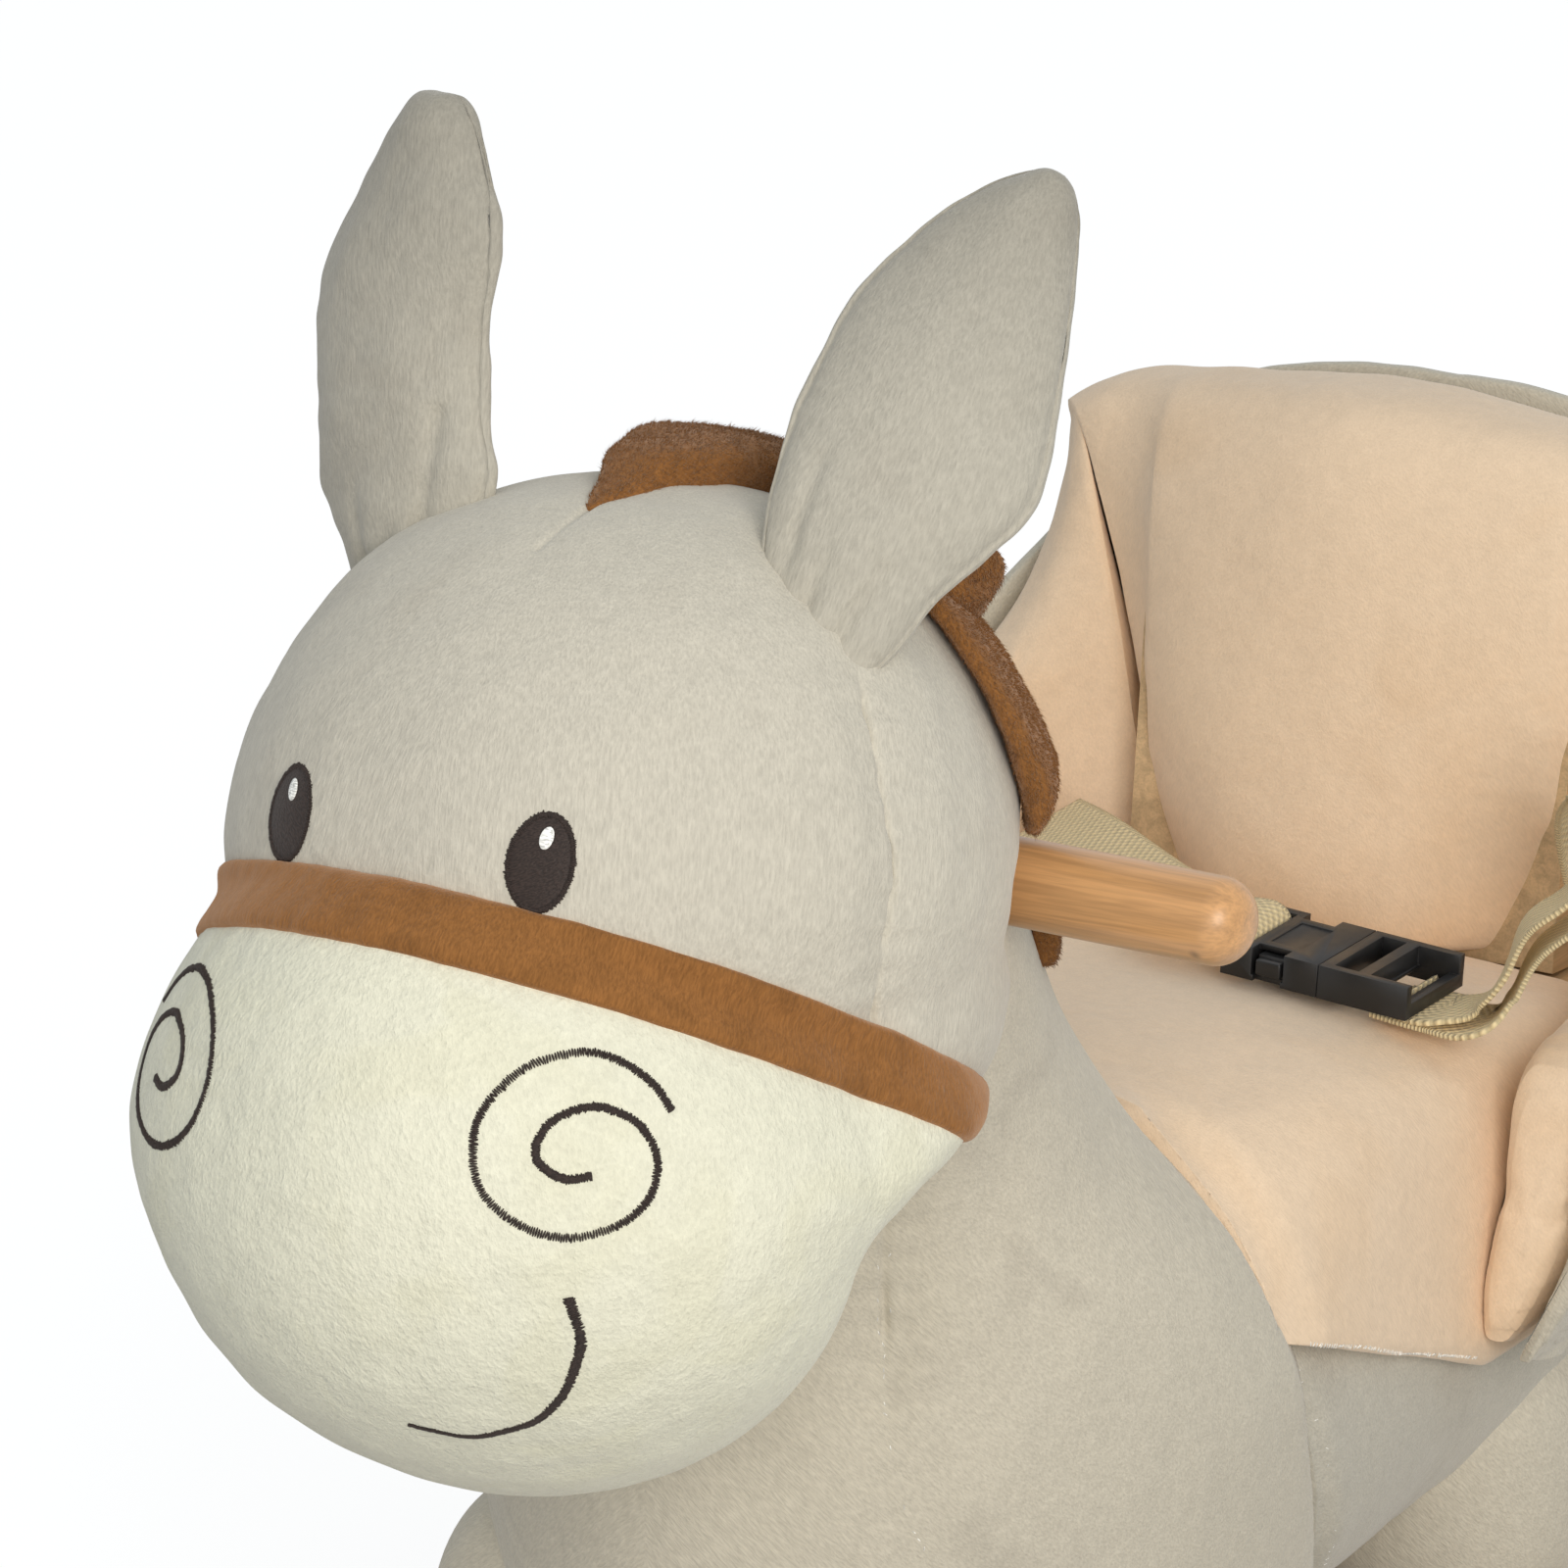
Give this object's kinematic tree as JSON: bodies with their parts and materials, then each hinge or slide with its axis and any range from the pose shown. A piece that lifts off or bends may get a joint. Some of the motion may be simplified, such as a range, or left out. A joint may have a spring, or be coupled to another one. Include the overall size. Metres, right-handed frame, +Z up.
{
  "type": "rocking animal",
  "caption": "Stuffed plush rocking donkey with a handle bar, a padded bucket seat, a lap belt with a side-release buckle, and a wooden rocker base.",
  "frame": {"origin": "on the floor under the middle of the rockers", "axes": "+Z up; the donkey faces -Y and its left side is +X"},
  "size_m": [0.33, 0.6114, 0.5406],
  "materials": {
    "grey_plush": "short pile, soft nap",
    "cream_plush": "short pile, soft nap",
    "brown_plush": "longer pile with streaks",
    "peach_plush": "short pile, soft nap",
    "tan_webbing": "flat woven webbing",
    "birch": "clear satin lacquer",
    "plywood": "sanded, unfinished",
    "handle_wood": "warm satin lacquer",
    "zinc_steel": "bright zinc",
    "black_plastic": "moulded, low sheen"
  },
  "bodies": {
    "donkey": {"back_board": "plywood", "back_bracket_left": "zinc_steel", "back_bracket_right": "zinc_steel", "back_cover": "grey_plush", "back_cushion": "peach_plush", "buckle_frame": "black_plastic", "ear_left": "grey_plush", "ear_right": "grey_plush", "far_strap": "tan_webbing", "foot_rest_bar": "birch", "front_slat": "birch", "handle_bar": "handle_wood", "handle_screw": "zinc_steel", "head": "grey_plush", "hoof_front_left": "brown_plush", "hoof_front_right": "brown_plush", "hoof_rear_left": "brown_plush", "hoof_rear_right": "brown_plush", "leg_front_left": "grey_plush", "leg_front_right": "grey_plush", "leg_post_front_left": "birch", "leg_post_front_right": "birch", "leg_post_rear_left": "birch", "leg_post_rear_right": "birch", "leg_rear_left": "grey_plush", "leg_rear_right": "grey_plush", "leg_screw_front_left": "zinc_steel", "leg_screw_front_right": "zinc_steel", "leg_screw_rear_left": "zinc_steel", "leg_screw_rear_right": "zinc_steel", "mane_forelock": "brown_plush", "mane_tuft_long": "brown_plush", "mane_tuft_middle": "brown_plush", "mane_tuft_neck": "brown_plush", "mane_tuft_top": "brown_plush", "muzzle": "cream_plush", "near_strap": "tan_webbing", "near_strap_tail": "tan_webbing", "neck_and_chest": "grey_plush", "neck_board": "plywood", "neck_bracket_left": "zinc_steel", "neck_bracket_right": "zinc_steel", "nose_band": "brown_plush", "rear_slat": "birch", "rocker_bolt_front_left": "zinc_steel", "rocker_bolt_front_right": "zinc_steel", "rocker_bolt_rear_left": "zinc_steel", "rocker_bolt_rear_right": "zinc_steel", "rocker_left": "birch", "rocker_right": "birch", "seat_board": "plywood", "seat_cushion": "peach_plush", "tail": "grey_plush", "tail_tuft": "brown_plush", "trunk": "grey_plush", "wing_cushion_left": "peach_plush", "wing_cushion_right": "peach_plush"},
    "socket": {"buckle_socket": "black_plastic"}
  },
  "joints": [
    {"name": "buckle_release", "type": "slide", "parent": "donkey", "child": "socket", "axis": [-0.9982, 0, 0.0593], "range_m": [0, 0.026], "deforming": ["far_strap"]}
  ]
}
